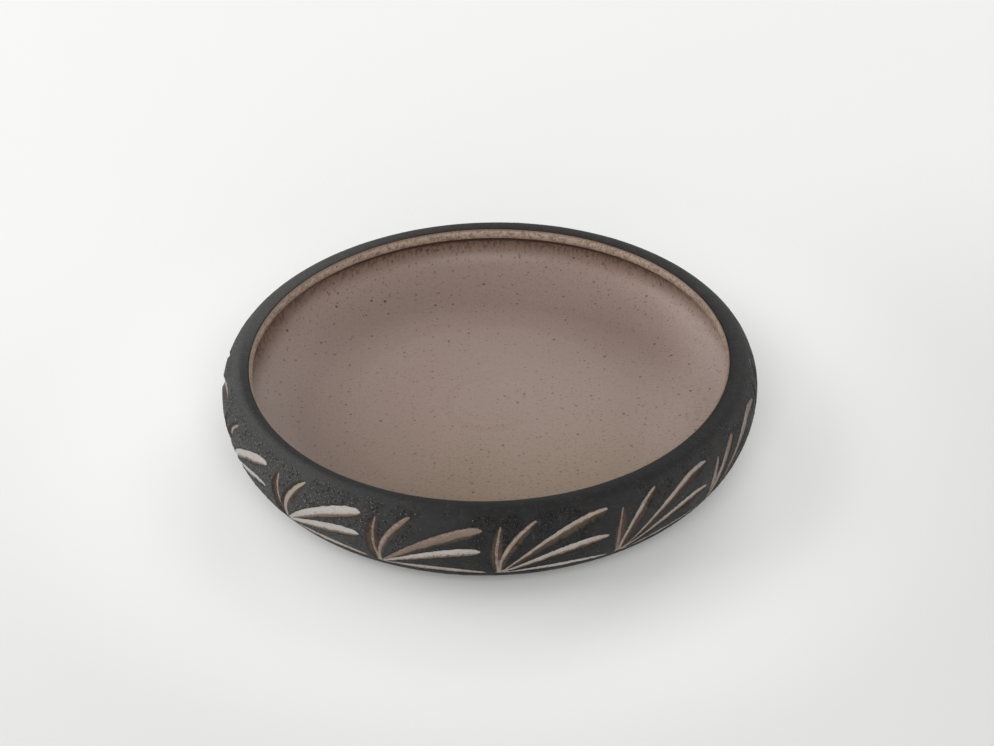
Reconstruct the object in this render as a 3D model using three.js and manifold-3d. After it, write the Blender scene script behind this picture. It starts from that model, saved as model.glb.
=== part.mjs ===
// Low stoneware bowl with a rolled rim and a ring of carved leaf sprays.
// A thrown clay body stands on a turned foot ring. A thick black slip coats the outside and the rim,
// a speckled glaze lines the inside, and pale glaze lies pooled in the leaf cuts of the slip.
// Millimetres, +Z up. The origin is the middle of the foot, on the ground. -Y is the front.

import * as THREE from "three";
import { mergeVertices } from "three/addons/utils/BufferGeometryUtils.js";
import Module from "manifold-3d";

// Outside: overall size, and how far the shoulder leans in and drops from the rim to the widest line
const bowlRadius = 130;
const bowlHeight = 50;
const shoulderWidth = 10.4;
const shoulderHeight = 15;

// Foot ring, set in from the widest line, and the domed recess within it
const footInset = 29;
const footWidth = 8.5;
const footHeight = 1.2;
const footChamfer = 0.5;
const footTuck = 0.5;
const recessDepth = 6;
const recessSlope = 2;

// Rolled rim: its inner half, and how far round it the slip reaches past the crest, in degrees
const rimRollWidth = 5;
const rimRollDrop = 3;
const slipEndAngle = 40;

// Inside: the glaze bead under the rim, the hollow behind it, and the domed floor
const beadWidth = 2.2;
const beadHeight = 2.9;
const beadEndAngle = 155;
const undercut = 5.4;
const hollowDrop = 0.5;
const filletWidth = 36.6;
const baseThickness = 11.4;
const floorRise = 3;

// Layers over the clay, and the clearance between two pieces that touch
const slipThickness = 2.2;
const glazeThickness = 0.7;
const layerGap = 0.3;

// Ring of leaf sprays, between a distance up from the slip's lower edge and one down from the crest
const sprayCount = 14;
const firstSprayTurn = 1;
const rootAboveEdge = 26.5;
const tipBelowCrest = 8.6;
const rootRadius = 2.4;

// Leaf cuts: the slip left under the deepest one, and their depth at both ends as shares of that depth
const slipUnderCuts = 0.45;
const rootDepthShare = 0.83;
const tipDepthShare = 0.29;
const rootCutWidth = 2.4;
const tipCutWidth = 1.2;
const widestShare = 0.64;

// The cutting tool over the slip: its walls go on flaring this far, then rise straight to its top
const toolFlare = 1.2;
const toolLift = 3;

// The widest leaf, and how far the most bent one strays from a straight line
const leafWidth = 6;
const leafBow = 7.3;

// The leaves of a spray, in shares: of the way to the next root, and of the greatest rise, width and bow
const leaves = [
  { reach: 0.01, rise: 0.94, width: 0.77, bow: 0.27 },
  { reach: 0.3, rise: 1, width: 0.83, bow: 0.63 },
  { reach: 0.88, rise: 0.96, width: 1, bow: 1 },
  { reach: 0.87, rise: 0.56, width: 0.93, bow: 0.72 },
  { reach: 0.9, rise: 0.03, width: 0.83, bow: 0.4 },
];

// The carver's hand: degrees that each spray strays from its even turn, and its length against the rest
const handTurns = [0, 0.4, 2.6, 0.6, -0.9, 0.8, -0.5, 1.2, -1, 0.4, -0.7, 0.3, 0.2, 0];
const handLengths = [1, 0.98, 0.94, 1.02, 1, 0.97, 1.03, 0.98, 1.01, 0.96, 1.02, 0.95, 0.96, 1.02];

// Pale glaze in the cuts: clear of their walls, and filled to this share below the slip's surface
const poolGap = 0.4;
const poolLevelShare = 0.32;
const poolStep = 0.05;

// Fineness of the surfaces: columns round the bowl, rows along its profile, steps along a leaf
const columns = 4 * sprayCount;
const rows = { roll: 2, shoulder: 4, belly: 5, bead: 4, hollow: 2, fillet: 4, floor: 2 };
const measureRows = { roll: 20, shoulder: 60, belly: 60 };
const leafSteps = 5;
const rootSides = 8;

// Sizes that follow from the ones above
const crestRadius = bowlRadius - shoulderWidth;
const widestHeight = bowlHeight - shoulderHeight;
const footRadius = bowlRadius - footInset;
const floorEdgeHeight = recessDepth + baseThickness;
const slipCover = slipThickness + layerGap;
const glazeCover = glazeThickness + layerGap;
const cutDepth = slipThickness - slipUnderCuts;
const leafStart = rootRadius / 5;
const sprayPitch = (2 * Math.PI * bowlRadius) / sprayCount;

const radians = THREE.MathUtils.degToRad;
const degrees = THREE.MathUtils.radToDeg;

// A profile is a list of stations: a point (radius, height) and the direction out of the surface there
function ellipseArc(middle, width, height, from, to, steps, side) {
  const stations = [];
  for (let step = 0; step <= steps; step += 1) {
    const angle = radians(from + ((to - from) * step) / steps);
    const across = Math.cos(angle);
    const up = Math.sin(angle);
    const at = new THREE.Vector2(middle.x + width * across, middle.y + height * up);
    const out = new THREE.Vector2(across / width, up / height).normalize().multiplyScalar(side);
    stations.push({ at, out });
  }
  return stations;
}

// Two runs of a profile that share an end, with one direction at the shared point
function joined(first, second) {
  const last = first[first.length - 1];
  const out = last.out.clone().add(second[0].out).normalize();
  return [...first.slice(0, -1), { at: last.at, out }, ...second.slice(1)];
}

function points(stations) {
  return stations.map(({ at }) => at.clone());
}

function sunk(stations, depth) {
  return stations.map(({ at, out }) => at.clone().addScaledVector(out, -depth));
}

// The direction along a profile at a station, towards its end
function onwards({ out }) {
  return new THREE.Vector2(-out.y, out.x);
}

// Outside, from the end of the slip inside the rim, over the crest and round the belly to the foot
function outsideProfile(counts) {
  const rollMiddle = new THREE.Vector2(crestRadius, bowlHeight - rimRollDrop);
  const roll = ellipseArc(rollMiddle, rimRollWidth, rimRollDrop, 90 + slipEndAngle, 90, counts.roll, 1);
  const crestMiddle = new THREE.Vector2(crestRadius, widestHeight);
  const shoulder = ellipseArc(crestMiddle, shoulderWidth, shoulderHeight, 90, 0, counts.shoulder, 1);
  const bellyMiddle = new THREE.Vector2(footRadius - footTuck, widestHeight);
  const bellyWidth = bowlRadius - bellyMiddle.x;
  const bellyHeight = widestHeight - footHeight;
  const bellyEnd = -degrees(Math.acos((footTuck + layerGap) / bellyWidth));
  const belly = ellipseArc(bellyMiddle, bellyWidth, bellyHeight, 0, bellyEnd, counts.belly, 1);
  return joined(joined(roll, shoulder), belly);
}

// The bead of glaze starts beside the slip's end, where it follows the slip's own direction
function beadProfile(counts, slipEnd) {
  const top = slipEnd.at.clone().addScaledVector(onwards(slipEnd), layerGap);
  const turn = Math.atan2(-slipEnd.out.x * beadWidth, slipEnd.out.y * beadHeight);
  const middle = new THREE.Vector2(top.x + beadWidth * Math.sin(turn), top.y - beadHeight * Math.cos(turn));
  return ellipseArc(middle, beadWidth, beadHeight, 90 + degrees(turn), 90 + beadEndAngle, counts.bead, 1);
}

// The floor, from its edge to the middle, domed as a cosine wave
function floorProfile(counts, edgeRadius) {
  const swell = floorRise / 2;
  const floor = [];
  for (let step = 0; step <= counts.floor; step += 1) {
    const share = 1 - step / counts.floor;
    const height = floorEdgeHeight + swell * (1 + Math.cos(Math.PI * share));
    const slope = (swell * Math.PI * Math.sin(Math.PI * share)) / edgeRadius;
    const at = new THREE.Vector2(edgeRadius * share, height);
    floor.push({ at, out: new THREE.Vector2(slope, 1).normalize() });
  }
  return floor;
}

// Inside, from the bead down the hollow behind it, round the fillet and across the floor to the middle
function insideProfile(counts, slipEnd) {
  const bead = beadProfile(counts, slipEnd);
  const crease = bead[bead.length - 1].at;
  const floorRadius = crease.x + undercut - filletWidth;
  const hollowHeight = widestHeight - hollowDrop;
  const hollowMiddle = new THREE.Vector2(floorRadius, hollowHeight);
  const creaseAngle = Math.acos(1 - undercut / filletWidth);
  const hollowRise = (crease.y - hollowHeight) / Math.sin(creaseAngle);
  const creaseTurn = degrees(creaseAngle);
  const hollow = ellipseArc(hollowMiddle, filletWidth, hollowRise, creaseTurn, 0, counts.hollow, -1);
  const filletDrop = hollowHeight - floorEdgeHeight;
  const fillet = ellipseArc(hollowMiddle, filletWidth, filletDrop, 0, -90, counts.fillet, -1);
  return joined(joined(joined(bead, hollow), fillet), floorProfile(counts, floorRadius));
}

const outside = outsideProfile(rows);
const slipEnd = outside[0];
const inside = insideProfile(rows, slipEnd);

// Solids of revolution about the Z axis
const weldDistance = 1e-4;

function turned(profile) {
  const geometry = new THREE.LatheGeometry(profile, columns);
  geometry.rotateX(Math.PI / 2);
  geometry.deleteAttribute("normal");
  geometry.deleteAttribute("uv");
  return mergeVertices(geometry, weldDistance);
}

// Clay body: recess, foot ring, the wall under the slip, the rim core and the wall under the glaze
function clayProfile() {
  const footInside = footRadius - footWidth;
  const recessEdge = footInside - recessSlope;
  const recess = [];
  for (let step = 0; step <= rows.floor; step += 1) {
    const share = step / rows.floor;
    recess.push(new THREE.Vector2(recessEdge * share, recessDepth + floorRise * (1 - share * share)));
  }
  const foot = [
    new THREE.Vector2(footInside, 0),
    new THREE.Vector2(footRadius - footChamfer, 0),
    new THREE.Vector2(footRadius, footChamfer),
    new THREE.Vector2(footRadius, footHeight + slipCover),
  ];
  const underSlip = sunk(outside, slipCover);
  const rimCore = underSlip[0].clone().addScaledVector(onwards(slipEnd), layerGap);
  return [...recess, ...foot, ...underSlip.reverse(), rimCore, ...sunk(inside, glazeCover)];
}

// Slip coat: up its outer face, back down its inner face, and closed at the foot
function slipProfile() {
  return [...points(outside).reverse(), ...sunk(outside, slipThickness), points(outside).pop()];
}

// Inner glaze: a shell that ends on the axis on both faces
function glazeProfile() {
  return [...sunk(inside, glazeThickness).reverse(), ...points(inside)];
}

// Distances along the outside, from the slip's end, for finding a place on it
const measured = outsideProfile(measureRows);
const runs = [0];
for (let index = 1; index < measured.length; index += 1) {
  runs.push(runs[index - 1] + measured[index].at.distanceTo(measured[index - 1].at));
}
const crestRun = runs[measureRows.roll];
const rootRun = runs[runs.length - 1] - rootAboveEdge;
const leafRise = rootRun - crestRun - tipBelowCrest;

// A point over the slip: turn in degrees from the front, rise up from the root line, lift off the slip
function overSlip(turn, rise, lift) {
  const sought = rootRun - rise;
  let index = 0;
  while (index < runs.length - 2 && runs[index + 1] < sought) {
    index += 1;
  }
  const share = (sought - runs[index]) / (runs[index + 1] - runs[index]);
  const at = measured[index].at.clone().lerp(measured[index + 1].at, share);
  const out = measured[index].out.clone().lerp(measured[index + 1].out, share).normalize();
  at.addScaledVector(out, lift);
  return new THREE.Vector3(at.x * Math.sin(radians(turn)), -at.x * Math.cos(radians(turn)), at.y);
}

// A spray lies on the slip as on a sheet: x runs round the bowl from its root, y up from its root
function onSheet(spray, place, lift) {
  return overSlip(spray.turn + degrees(place.x / bowlRadius), place.y, lift);
}

function sprayAt(number) {
  const evenTurn = firstSprayTurn + (360 * number) / sprayCount;
  const turn = evenTurn + handTurns[number % handTurns.length];
  return { turn, length: handLengths[number % handLengths.length] };
}

// A leaf swells from its root to its widest place and closes again towards its tip
function swollen(share, rootValue, widestValue, tipValue) {
  if (share < widestShare) {
    const swell = Math.sin(((Math.PI / 2) * share) / widestShare);
    return rootValue + (widestValue - rootValue) * swell;
  }
  const swell = Math.cos(((Math.PI / 2) * (share - widestShare)) / (1 - widestShare));
  return tipValue + (widestValue - tipValue) * swell;
}

// The deep line of a leaf, with the width and depth of the cut along it
function leafStations(spray, leaf) {
  const tip = new THREE.Vector2(leaf.reach * sprayPitch, leaf.rise * leafRise).multiplyScalar(spray.length);
  const start = tip.clone().setLength(leafStart);
  const bend = start.clone().add(tip).multiplyScalar(0.5);
  bend.addScaledVector(new THREE.Vector2(-tip.y, tip.x).normalize(), 2 * leafBow * leaf.bow);
  const line = new THREE.QuadraticBezierCurve(start, bend, tip);
  const stations = [];
  for (let step = 0; step <= leafSteps; step += 1) {
    const share = step / leafSteps;
    const ahead = line.getTangent(share);
    stations.push({
      at: line.getPoint(share),
      aside: new THREE.Vector2(-ahead.y, ahead.x),
      halfWidth: swollen(share, rootCutWidth, leafWidth * leaf.width, tipCutWidth) / 2,
      depth: cutDepth * swollen(share, rootDepthShare, 1, tipDepthShare),
    });
  }
  return stations;
}

// Points across a V cut, or across a pool in it: the edges at a level, with the deep line between them.
// A wall rises straight from each edge to the top, where that is higher.
function acrossCut(spray, { at, aside, halfWidth, depth }, bottom, level, top = level) {
  const spread = (halfWidth * (level + bottom)) / depth;
  const left = at.clone().addScaledVector(aside, spread);
  const right = at.clone().addScaledVector(aside, -spread);
  const across = [onSheet(spray, left, level), onSheet(spray, at, -bottom), onSheet(spray, right, level)];
  return top > level ? [onSheet(spray, left, top), ...across, onSheet(spray, right, top)] : across;
}

function leafCutter(spray, leaf) {
  const stations = leafStations(spray, leaf);
  return bar(stations.map((station) => acrossCut(spray, station, station.depth, toolFlare, toolLift)));
}

// The pool stops a step short of the tip, and each next leaf of the spray is filled a little lower
function leafPool(spray, leaf, order) {
  const stations = leafStations(spray, leaf).slice(0, -1);
  return bar(stations.map((station) => {
    const level = -poolLevelShare * station.depth - order * poolStep;
    return acrossCut(spray, station, station.depth - poolGap, level);
  }));
}

// The dimple at the root that all the leaves run into, as a cone with its tip in the slip
function rootCone(spray, bottom, level) {
  const root = new THREE.Vector2();
  const spread = (rootRadius * (bottom + level)) / cutDepth;
  const corners = [onSheet(spray, root, -bottom), onSheet(spray, root, level)];
  const index = [];
  for (let side = 0; side < rootSides; side += 1) {
    const angle = (2 * Math.PI * side) / rootSides;
    const edge = new THREE.Vector2(Math.cos(angle), Math.sin(angle)).multiplyScalar(spread);
    corners.push(onSheet(spray, edge, level));
    const here = 2 + side;
    const next = 2 + ((side + 1) % rootSides);
    index.push(0, next, here, 1, here, next);
  }
  return closedMesh(coordinates(corners), index);
}

// A bar through rings of points, closed at both ends
function bar(rings) {
  const sides = rings[0].length;
  const index = [];
  for (let ring = 0; ring < rings.length - 1; ring += 1) {
    for (let side = 0; side < sides; side += 1) {
      const here = ring * sides + side;
      const next = ring * sides + ((side + 1) % sides);
      index.push(here, next + sides, next, here, here + sides, next + sides);
    }
  }
  const last = (rings.length - 1) * sides;
  for (let side = 1; side < sides - 1; side += 1) {
    index.push(0, side, side + 1, last, last + side + 1, last + side);
  }
  return closedMesh(coordinates(rings.flat()), index);
}

function coordinates(corners) {
  return corners.flatMap((corner) => corner.toArray());
}

function closedMesh(position, index) {
  const geometry = new THREE.BufferGeometry();
  geometry.setAttribute("position", new THREE.Float32BufferAttribute(position, 3));
  geometry.setIndex(index);
  return geometry;
}

// Joins and cuts
const wasm = await Module();
wasm.setup();

function solid(geometry) {
  const vertProperties = new Float32Array(geometry.attributes.position.array);
  const triVerts = new Uint32Array(geometry.index.array);
  return new wasm.Manifold(new wasm.Mesh({ numProp: 3, vertProperties, triVerts }));
}

function surface(body) {
  const { vertProperties, triVerts } = body.getMesh();
  return closedMesh(vertProperties, Array.from(triVerts));
}

function united(geometries) {
  return geometries.map(solid).reduce((whole, next) => whole.add(next));
}

// Materials
const stonewareClay = new THREE.MeshStandardMaterial({ color: 0x4a3a30, roughness: 0.9, metalness: 0 });
const blackSlip = new THREE.MeshStandardMaterial({ color: 0x2b2a29, roughness: 0.6, metalness: 0 });
const speckledGlaze = new THREE.MeshStandardMaterial({ color: 0x8a7a6e, roughness: 0.42, metalness: 0 });
const paleGlaze = new THREE.MeshStandardMaterial({ color: 0xb9b0a8, roughness: 0.4, metalness: 0 });

function piece(name, geometry, material) {
  const mesh = new THREE.Mesh(geometry, material);
  mesh.name = name;
  return mesh;
}

// The cuts of one spray, as one tool
function sprayCutter(spray) {
  const cutters = leaves.map((leaf) => leafCutter(spray, leaf));
  return united([...cutters, rootCone(spray, cutDepth, toolLift)]);
}

// The glaze pooled in one spray, as one piece
function sprayPool(spray) {
  const pools = leaves.map((leaf, order) => leafPool(spray, leaf, order));
  return united([...pools, rootCone(spray, cutDepth - poolGap, -poolLevelShare * cutDepth)]);
}

// Assembly
const bowl = new THREE.Group();
bowl.add(piece("clay_body", turned(clayProfile()), stonewareClay));
bowl.add(piece("speckled_inner_glaze", turned(glazeProfile()), speckledGlaze));

let carvedSlip = solid(turned(slipProfile()));
for (let number = 0; number < sprayCount; number += 1) {
  const spray = sprayAt(number);
  carvedSlip = carvedSlip.subtract(sprayCutter(spray));
  const name = `leaf_glaze_${String(number + 1).padStart(2, "0")}`;
  bowl.add(piece(name, surface(sprayPool(spray)), paleGlaze));
}
bowl.add(piece("black_slip_coat", surface(carvedSlip), blackSlip));

export default bowl;
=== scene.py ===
"""Low stoneware bowl with a rolled rim and a ring of carved leaf sprays.

The clay, the black slip with its cuts, the speckled inner glaze and the glaze pooled in the leaves are
modelled round the fixed frame, and stand on a pale floor in soft light. Metres, +Z up, -Y the front.
"""

import math
from typing import NamedTuple

import bmesh
import bpy
import numpy as np
from bpy.props import FloatProperty, FloatVectorProperty, IntProperty, PointerProperty
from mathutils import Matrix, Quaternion, Vector, noise


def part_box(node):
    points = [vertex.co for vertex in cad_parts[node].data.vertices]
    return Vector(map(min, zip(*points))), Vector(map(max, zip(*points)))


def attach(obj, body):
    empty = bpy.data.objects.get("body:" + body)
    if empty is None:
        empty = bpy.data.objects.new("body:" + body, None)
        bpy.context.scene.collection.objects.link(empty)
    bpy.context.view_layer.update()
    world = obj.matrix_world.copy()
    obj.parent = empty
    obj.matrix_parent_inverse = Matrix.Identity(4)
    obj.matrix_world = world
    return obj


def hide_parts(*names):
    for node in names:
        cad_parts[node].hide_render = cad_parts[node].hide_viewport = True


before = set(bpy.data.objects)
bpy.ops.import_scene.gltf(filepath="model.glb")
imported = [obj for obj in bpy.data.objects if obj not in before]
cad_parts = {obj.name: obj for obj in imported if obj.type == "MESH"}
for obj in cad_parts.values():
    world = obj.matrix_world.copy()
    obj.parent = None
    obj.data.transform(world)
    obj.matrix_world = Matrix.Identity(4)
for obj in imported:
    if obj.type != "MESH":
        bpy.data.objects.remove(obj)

bl_info = {
    "name": "Carved Stoneware Bowl",
    "version": (1, 0, 0),
    "blender": (4, 5, 0),
    "location": "View3D > Sidebar > Bowl",
    "description": "Models a low stoneware bowl with carved leaf sprays, its glazes and a plain stage",
    "category": "Object",
}

# What the frame gives
SLIP_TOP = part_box("black_slip_coat")[1]
BOWL_RADIUS = round(SLIP_TOP.y, 4)
BOWL_HEIGHT = round(SLIP_TOP.z, 4)

# A millimetre, and the distance under which two points are one
MM = 0.001
WELD = 1e-6


def screen_colour(red, green, blue):
    """A colour given in screen steps from 0 to 255, as the linear values that shaders use."""
    shares = np.array((red, green, blue)) / 255
    linear = np.where(shares > 0.04045, ((shares + 0.055) / 1.055) ** 2.4, shares / 12.92)
    return tuple(float(value) for value in linear)


def length(name, description, default):
    return FloatProperty(name=name, description=description, default=default, unit="LENGTH", precision=5)


def angle(name, description, default):
    return FloatProperty(name=name, description=description, default=math.radians(default), subtype="ANGLE")


def share(name, description, default):
    return FloatProperty(name=name, description=description, default=default, subtype="FACTOR", min=0, max=1)


def colour(name, description, default):
    return FloatVectorProperty(
        name=name, description=description, default=screen_colour(*default), subtype="COLOR", min=0, max=1
    )


def power(name, description, default):
    return FloatProperty(name=name, description=description, default=default, unit="POWER")


class BowlSizes(bpy.types.PropertyGroup):
    """Driving dimensions of the thrown bowl."""

    radius: length("Radius", "From the axis to the widest line", BOWL_RADIUS)
    height: length("Height", "From the ground to the crest of the rim", BOWL_HEIGHT)
    shoulder_width: length("Shoulder width", "How far the shoulder leans in", 0.0104)
    shoulder_height: length("Shoulder height", "From the widest line up to the crest", 0.015)
    foot_inset: length("Foot inset", "From the widest line in to the foot ring", 0.029)
    foot_width: length("Foot width", "Across the foot ring", 0.0085)
    foot_height: length("Foot height", "Bare clay below the slip", 0.0012)
    foot_chamfer: length("Foot chamfer", "Bevel on the foot ring", 0.0005)
    foot_tuck: length("Foot tuck", "How far the belly draws in over the foot", 0.0005)
    recess_depth: length("Recess depth", "From the ground up to the underside at the foot ring", 0.006)
    recess_slope: length("Recess slope", "How far the recess wall leans", 0.002)
    roll_width: length("Roll width", "Inner half of the rolled rim", 0.005)
    roll_drop: length("Roll drop", "Height of the roll above its middle", 0.003)
    slip_end: angle("Slip end", "How far round the roll the slip reaches past the crest", 40)
    bead_width: length("Bead width", "Half width of the glaze bead", 0.0022)
    bead_height: length("Bead height", "Half height of the glaze bead", 0.0029)
    bead_end: angle("Bead end", "How far round the bead the glaze surface runs", 155)
    undercut: length("Undercut", "How far the hollow goes in behind the bead", 0.0054)
    hollow_drop: length("Hollow drop", "From the widest line down to the deepest place of the hollow", 0.0005)
    fillet_width: length("Fillet width", "From the hollow in to the floor", 0.0366)
    base_thickness: length("Base thickness", "Clay and glaze over the recess", 0.0114)
    floor_rise: length("Floor rise", "How far the floor swells in the middle", 0.003)
    slip_thickness: length("Slip thickness", "Thickness of the black slip", 0.0022)
    glaze_thickness: length("Glaze thickness", "Thickness of the inner glaze", 0.0007)
    layer_gap: length("Layer gap", "Clearance between two layers", 0.0003)


class LeafCarving(bpy.types.PropertyGroup):
    """Driving dimensions of the leaf sprays."""

    count: IntProperty(name="Sprays", description="Number of sprays round the bowl", default=14, min=1)
    first_turn: angle("First turn", "Turn of the first root from the front", 1)
    root_above_edge: length("Root above edge", "From the slip's lower edge up to the roots", 0.0265)
    tip_below_crest: length("Tip below crest", "From the crest down to the highest tip", 0.0086)
    root_radius: length("Root radius", "Radius of the dimple at each root", 0.0024)
    slip_under_cuts: length("Slip under cuts", "Slip left below the deepest cut", 0.00045)
    root_depth: share("Root depth", "Depth of a cut at its root, as a share of the deepest", 0.83)
    tip_depth: share("Tip depth", "Depth of a cut at its tip, as a share of the deepest", 0.29)
    root_width: length("Root width", "Width of a cut at its root", 0.0024)
    tip_width: length("Tip width", "Width of a cut at its tip", 0.0022)
    leaf_width: length("Leaf width", "Width of the widest leaf", 0.006)
    leaf_bow: length("Leaf bow", "How far the most bent leaf strays from a straight line", 0.0073)
    groove_round: length("Groove rounding", "Rounding along the bottom of a cut", 0.0003)
    burr: length("Burr", "Height of the ridge that the tool left along a cut", 0.00016)
    creep: length("Creep", "How far the pooled glaze climbs the walls of a cut", 0.00012)


class BowlColours(bpy.types.PropertyGroup):
    """Colours of the clay, the slip and the glazes."""

    clay: colour("Clay", "Fired stoneware", (118, 92, 74))
    slip: colour("Slip", "Black slip", (29, 29, 30))
    slip_thin: colour("Thin slip", "Black slip where the clay warms it", (42, 37, 31))
    # Painted shade: the darker black along the inner edge at the front and in the pits
    slip_painted_shade: colour("Deep slip", "Black slip at the inner edge and in its pits", (17, 18, 17))
    # Bright grit, also laid on as painted sheen on the left of the slip
    slip_grit_and_sheen: colour("Slip grit", "Bright grains in the slip", (150, 149, 147))
    wall: colour("Cut wall", "Thin glaze low in a cut", (76, 61, 48))
    wall_tan: colour("Yellow wall", "Thin glaze in a cut where it turns yellow", (108, 87, 58))
    wall_red: colour("Red wall", "Thin glaze in a cut where iron reddens it", (78, 56, 53))
    # Thin glaze at the lip of a cut, also laid on as painted shade on the cut walls at the right of the bowl
    wall_lip_and_shade: colour("Lip of a cut", "Thin glaze at the lip of a cut", (48, 43, 38))
    pit: colour("Pit", "Pits in the leaf glaze", (45, 38, 33))
    pool_thin: colour("Thin pool", "Leaf glaze where it is thin", (100, 84, 71))
    pool_brown: colour("Brown pool", "Leaf glaze where iron stains it", (108, 90, 79))
    pool: colour("Pool", "Leaf glaze", (146, 135, 125))
    pool_thick: colour("Thick pool", "Leaf glaze at its palest", (168, 163, 158))
    glaze: colour("Inner glaze", "Inner glaze, mauve", (141, 121, 112))
    glaze_warm: colour("Warm inner glaze", "Inner glaze where it turns yellow", (131, 111, 91))
    # Pale thick glaze on the bead, also laid on as painted light on the right wall and painted sheen on the
    # back wall
    glaze_pale_and_sheen: colour("Pale inner glaze", "Inner glaze where it is thick", (168, 149, 141))
    glaze_bead: colour("Bead", "Thick glaze on the bead", (162, 143, 127))
    # Brown of the band below the bead and of the mottling, also laid on as painted shade on the front left of
    # the inside
    glaze_band_and_shade: colour("Band", "Thin glaze below the bead", (110, 88, 74))
    # Dark brown of the line below the bead and of the drips
    glaze_crease: colour("Crease", "Bare, iron-rich line below the bead", (54, 34, 21))
    speck: colour("Speck", "Iron specks", (72, 53, 44))


class StageSettings(bpy.types.PropertyGroup):
    """Floor, light and camera."""

    floor: colour("Floor", "Floor of the stage", (237, 237, 236))
    sky: FloatProperty(name="Sky", description="Strength of the even light", default=0.26, min=0)
    front_lamp: power("Front lamp", "Power of the lamp in front", 28)
    left_lamp: power("Left lamp", "Power of the lamp at the left", 16.8)
    back_lamp: power("Back lamp", "Power of the lamp behind", 15.5)
    far_lamp: power("Far lamp", "Power of the lamp behind on the left", 9.9)
    right_lamp: power("Right lamp", "Power of the lamp at the right", 6)
    lamp_size: length("Lamp size", "Side of each soft lamp", 1.5)
    lamp_distance: length("Lamp distance", "From each lamp to the bowl", 2)
    lamp_height: angle("Lamp height", "Height of the lamps above the horizon", 30)
    distance: length("Camera distance", "From the camera to the middle of the mouth", 1.2)
    elevation: angle("Camera elevation", "Height of the camera above the horizon", 34.26)
    roll: angle("Camera roll", "Lean of the camera", 1.45)


# The photograph's width in pixels, its scale at the middle of the mouth, and the picture's shift in pixels
FRAME_WIDTH = 994
PIXELS_PER_METRE = 2064
FRAME_SHIFT = (8.2, -20.1)

# The camera's sensor in mm, and how near and far it sees in metres
SENSOR_WIDTH = 36
CLIP_NEAR_FAR = (0.05, 50)


class Profile:
    """A line in the plane of radius and height. It turns about the axis to make a surface."""

    def __init__(self, *parts):
        at, out = parts[0]
        for next_at, next_out in parts[1:]:
            shared = out[-1] + next_out[0]
            out = np.vstack((out[:-1], shared / np.linalg.norm(shared), next_out[1:]))
            at = np.vstack((at, next_at[1:]))
        self.at = at
        self.out = out
        self.run = np.concatenate(([0], np.cumsum(np.linalg.norm(np.diff(at, axis=0), axis=1))))
        self.end = self.run[-1]

    def place(self, run, lift=0):
        """Radius and height at a distance along the line, lifted off the surface."""
        radius = np.interp(run, self.run, self.at[:, 0]) + lift * np.interp(run, self.run, self.out[:, 0])
        height = np.interp(run, self.run, self.at[:, 1]) + lift * np.interp(run, self.run, self.out[:, 1])
        return radius, height


ARC_STEPS = 90


def arc(middle, width, height, start, end, side=1):
    """Points along an ellipse between two angles, with the direction out of the surface at each."""
    angles = np.linspace(start, end, ARC_STEPS + 1)
    at = np.column_stack((middle[0] + width * np.cos(angles), middle[1] + height * np.sin(angles)))
    out = np.column_stack((np.cos(angles) / width, np.sin(angles) / height)) * side
    return at, out / np.linalg.norm(out, axis=1, keepdims=True)


QUARTER = math.pi / 2


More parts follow.
